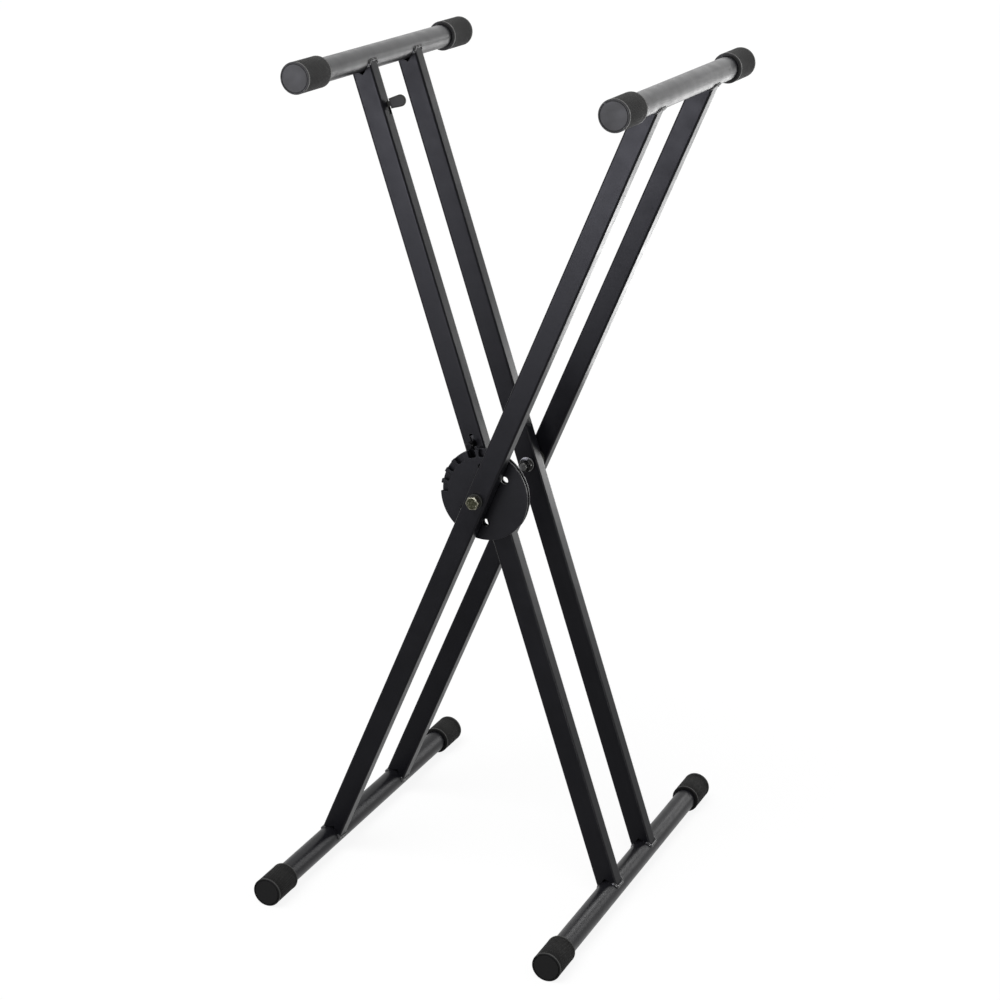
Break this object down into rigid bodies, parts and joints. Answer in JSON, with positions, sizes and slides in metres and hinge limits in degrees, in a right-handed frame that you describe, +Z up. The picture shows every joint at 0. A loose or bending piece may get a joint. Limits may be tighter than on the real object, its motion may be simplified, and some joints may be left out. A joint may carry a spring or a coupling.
{
  "type": "folding keyboard stand",
  "caption": "Folding X-frame keyboard stand: hinged tube frames, round rubber-capped arms and feet, and a notched lock plate that a finger trigger releases.",
  "frame": {"origin": "on the floor, midway between the four feet, straight below the pivot", "axes": "+Z up; +X across the stand, towards the top of the outer frame; Y along the pivot bolts, with the notched plate and its latch on the -Y side"},
  "size_m": [0.3912, 0.508, 0.9799],
  "materials": {
    "frame_paint": "semi-gloss black powder coat",
    "cap_rubber": "matte black, fine ribs",
    "zinc_fixings": "olive zinc plate",
    "bright_steel": "bright zinc plate",
    "black_nylon": "moulded black nylon"
  },
  "bodies": {
    "outer_frame": {"outer_support_arm": "frame_paint", "outer_support_arm_cap_near": "cap_rubber", "outer_support_arm_cap_far": "cap_rubber", "outer_foot_bar": "frame_paint", "outer_foot_bar_cap_near": "cap_rubber", "outer_foot_bar_cap_far": "cap_rubber", "outer_leg_near": "frame_paint", "outer_leg_far": "frame_paint", "notched_plate": "frame_paint", "notched_plate_rivet_upper": "bright_steel", "notched_plate_rivet_lower": "bright_steel", "notched_plate_ring": "bright_steel", "plate_washer": "black_nylon", "near_bolt_washer": "black_nylon", "near_pivot_bolt": "zinc_fixings", "near_nut_washer": "bright_steel", "near_lock_nut": "zinc_fixings", "far_bolt_washer": "black_nylon", "far_pivot_bolt": "zinc_fixings", "far_nut_washer": "bright_steel", "far_lock_nut": "zinc_fixings", "far_leg_spacer": "black_nylon"},
    "inner_frame": {"inner_support_arm": "frame_paint", "inner_support_arm_cap_near": "cap_rubber", "inner_support_arm_cap_far": "cap_rubber", "inner_foot_bar": "frame_paint", "inner_foot_bar_cap_near": "cap_rubber", "inner_foot_bar_cap_far": "cap_rubber", "inner_leg_near": "frame_paint", "inner_leg_far": "frame_paint", "guide_plate": "frame_paint", "guide_plate_rivet_upper": "bright_steel", "guide_plate_rivet_lower": "bright_steel", "guide_plate_ring": "bright_steel", "lower_rod_bush": "black_nylon", "upper_rod_bush": "black_nylon", "return_spring": "bright_steel"},
    "latch": {"latch_pin": "bright_steel", "pin_carrier": "bright_steel", "pull_rod": "bright_steel", "spring_collar": "bright_steel", "release_trigger": "black_nylon"}
  },
  "joints": [
    {"name": "fold", "type": "hinge", "parent": "outer_frame", "child": "inner_frame", "pos_m": [0, 0, 0.48864], "axis": [0, -1, 0], "range_deg": [-37, 68.5]},
    {"name": "latch_slide", "type": "slide", "parent": "inner_frame", "child": "latch", "axis": [-0.3522, 0, 0.9359], "range_m": [-0.008, 0], "stiffness_N_per_m": 400, "springref_m": -0.03}
  ]
}
